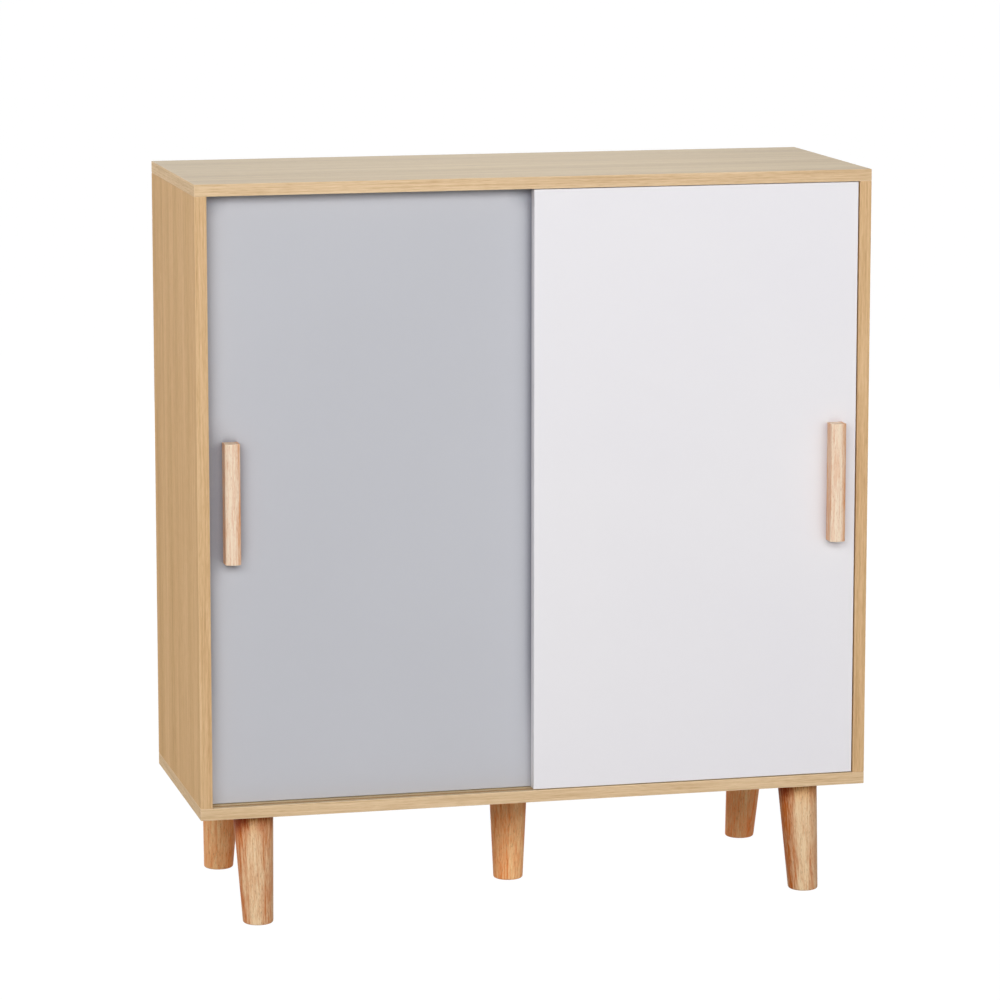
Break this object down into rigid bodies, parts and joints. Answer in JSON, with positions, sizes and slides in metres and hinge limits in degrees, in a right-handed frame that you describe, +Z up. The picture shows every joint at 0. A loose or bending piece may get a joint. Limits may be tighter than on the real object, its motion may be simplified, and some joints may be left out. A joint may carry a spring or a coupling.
{
  "type": "sliding door cabinet",
  "caption": "Low cabinet with overlapping sliding doors on rollers, bow-fronted wooden bar handles, adjustable shelves and splayed turned legs.",
  "frame": {"origin": "on the floor, at the centre of the middle leg's foot, which is also the middle of the carcase in plan", "axes": "+Z up, -Y towards the front with the doors, +X to the right as seen from the front"},
  "size_m": [0.8, 0.318, 0.862],
  "materials": {
    "oak": "satin oak veneer on board",
    "hardboard": "pale foil on hardboard",
    "grey_paint": "satin grey lacquer on board",
    "white_paint": "satin white lacquer on board",
    "rubberwood": "clear satin lacquer",
    "handle_wood": "clear satin lacquer",
    "nylon": "moulded, natural white",
    "track_plastic": "extruded, wood coloured",
    "zinc": "zinc plated"
  },
  "bodies": {
    "cabinet": {"top_board": "oak", "bottom_board": "oak", "left_side": "oak", "right_side": "oak", "centre_divider": "oak", "back_panel": "hardboard", "left_shelf": "oak", "right_shelf": "oak", "left_shelf_pin_front_outer": "zinc", "left_shelf_pin_back_outer": "zinc", "left_shelf_pin_front_inner": "zinc", "left_shelf_pin_back_inner": "zinc", "right_shelf_pin_front_outer": "zinc", "right_shelf_pin_back_outer": "zinc", "right_shelf_pin_front_inner": "zinc", "right_shelf_pin_back_inner": "zinc", "front_left_leg": "rubberwood", "front_right_leg": "rubberwood", "back_left_leg": "rubberwood", "back_right_leg": "rubberwood", "middle_leg": "rubberwood", "front_left_leg_bolt": "zinc", "front_right_leg_bolt": "zinc", "back_left_leg_bolt": "zinc", "back_right_leg_bolt": "zinc", "middle_leg_bolt": "zinc", "front_track": "track_plastic", "rear_track": "track_plastic", "left_cam_front_bottom": "zinc", "left_cam_front_top": "zinc", "left_cam_back_bottom": "zinc", "left_cam_back_top": "zinc", "right_cam_front_bottom": "zinc", "right_cam_front_top": "zinc", "right_cam_back_bottom": "zinc", "right_cam_back_top": "zinc"},
    "grey_door_body": {"grey_door": "grey_paint", "grey_door_handle": "handle_wood", "grey_handle_screw_lower": "zinc", "grey_handle_screw_upper": "zinc", "grey_roller_housing_left": "nylon", "grey_roller_housing_right": "nylon", "grey_guide_sleeve_left": "nylon", "grey_guide_sleeve_right": "nylon"},
    "white_door_body": {"white_door": "white_paint", "white_door_handle": "handle_wood", "white_handle_screw_lower": "zinc", "white_handle_screw_upper": "zinc", "white_roller_housing_left": "nylon", "white_roller_housing_right": "nylon", "white_guide_sleeve_left": "nylon", "white_guide_sleeve_right": "nylon"},
    "grey_wheel_left": {"grey_roller_wheel_left": "nylon"},
    "grey_pin_left": {"grey_guide_pin_left": "nylon"},
    "grey_wheel_right": {"grey_roller_wheel_right": "nylon"},
    "grey_pin_right": {"grey_guide_pin_right": "nylon"},
    "white_wheel_left": {"white_roller_wheel_left": "nylon"},
    "white_pin_left": {"white_guide_pin_left": "nylon"},
    "white_wheel_right": {"white_roller_wheel_right": "nylon"},
    "white_pin_right": {"white_guide_pin_right": "nylon"}
  },
  "joints": [
    {"name": "grey_door_slide", "type": "slide", "parent": "cabinet", "child": "grey_door_body", "axis": [1, 0, 0], "range_m": [0, 0.3436]},
    {"name": "grey_wheel_left_spin", "type": "hinge", "parent": "grey_door_body", "child": "grey_wheel_left", "pos_m": [-0.3368, -0.124, 0.1464], "axis": [0, 1, 0], "continuous": true},
    {"name": "grey_pin_left_press", "type": "slide", "parent": "grey_door_body", "child": "grey_pin_left", "axis": [0, 0, 1], "range_m": [-0.0058, 0], "stiffness_N_per_m": 150, "springref_m": 0.006},
    {"name": "grey_wheel_right_spin", "type": "hinge", "parent": "grey_door_body", "child": "grey_wheel_right", "pos_m": [-0.0428, -0.124, 0.1464], "axis": [0, 1, 0], "continuous": true},
    {"name": "grey_pin_right_press", "type": "slide", "parent": "grey_door_body", "child": "grey_pin_right", "axis": [0, 0, 1], "range_m": [-0.0058, 0], "stiffness_N_per_m": 150, "springref_m": 0.006},
    {"name": "white_door_slide", "type": "slide", "parent": "cabinet", "child": "white_door_body", "axis": [1, 0, 0], "range_m": [-0.3436, 0]},
    {"name": "white_wheel_left_spin", "type": "hinge", "parent": "white_door_body", "child": "white_wheel_left", "pos_m": [0.0428, -0.141, 0.1464], "axis": [0, 1, 0], "continuous": true},
    {"name": "white_pin_left_press", "type": "slide", "parent": "white_door_body", "child": "white_pin_left", "axis": [0, 0, 1], "range_m": [-0.0058, 0], "stiffness_N_per_m": 150, "springref_m": 0.006},
    {"name": "white_wheel_right_spin", "type": "hinge", "parent": "white_door_body", "child": "white_wheel_right", "pos_m": [0.3368, -0.141, 0.1464], "axis": [0, 1, 0], "continuous": true},
    {"name": "white_pin_right_press", "type": "slide", "parent": "white_door_body", "child": "white_pin_right", "axis": [0, 0, 1], "range_m": [-0.0058, 0], "stiffness_N_per_m": 150, "springref_m": 0.006}
  ],
  "couplings": [
    {"joint": "grey_wheel_left_spin", "follows": "grey_door_slide", "rad_per_m": 111.11},
    {"joint": "grey_wheel_right_spin", "follows": "grey_door_slide", "rad_per_m": 111.11},
    {"joint": "white_wheel_left_spin", "follows": "white_door_slide", "rad_per_m": 111.11},
    {"joint": "white_wheel_right_spin", "follows": "white_door_slide", "rad_per_m": 111.11}
  ]
}
